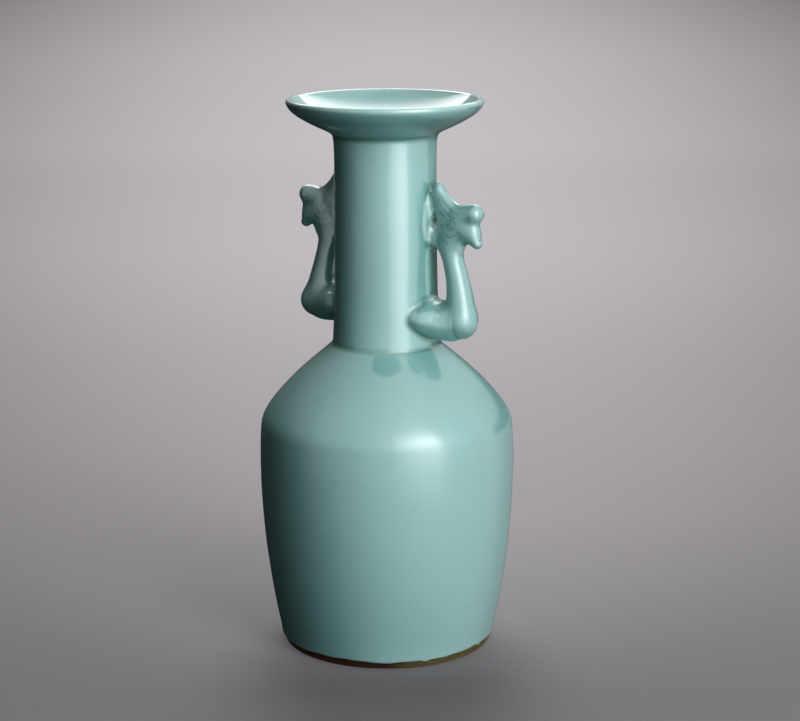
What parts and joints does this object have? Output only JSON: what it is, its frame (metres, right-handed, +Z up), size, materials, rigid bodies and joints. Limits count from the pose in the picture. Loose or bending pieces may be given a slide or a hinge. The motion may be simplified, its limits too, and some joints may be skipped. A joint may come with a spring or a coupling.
{
  "type": "celadon vase",
  "caption": "Celadon vase with a mallet-shaped body, a tall straight neck, a wide dish mouth and bird-headed handles luted to the neck.",
  "frame": {"origin": "centre of the foot ring's resting face", "axes": "+Z up along the axis the vase was thrown on, +X towards the right handle, +Y to the back"},
  "size_m": [0.135, 0.1352, 0.29],
  "materials": {
    "celadon_glaze": "gloss",
    "bare_clay": "matte"
  },
  "bodies": {
    "root": {"foot_ring": "bare_clay", "base_floor": "celadon_glaze", "body_side": "celadon_glaze", "shoulder": "celadon_glaze", "neck": "celadon_glaze", "mouth_dish": "celadon_glaze", "handle_right": "celadon_glaze", "handle_left": "celadon_glaze"}
  },
  "joints": []
}
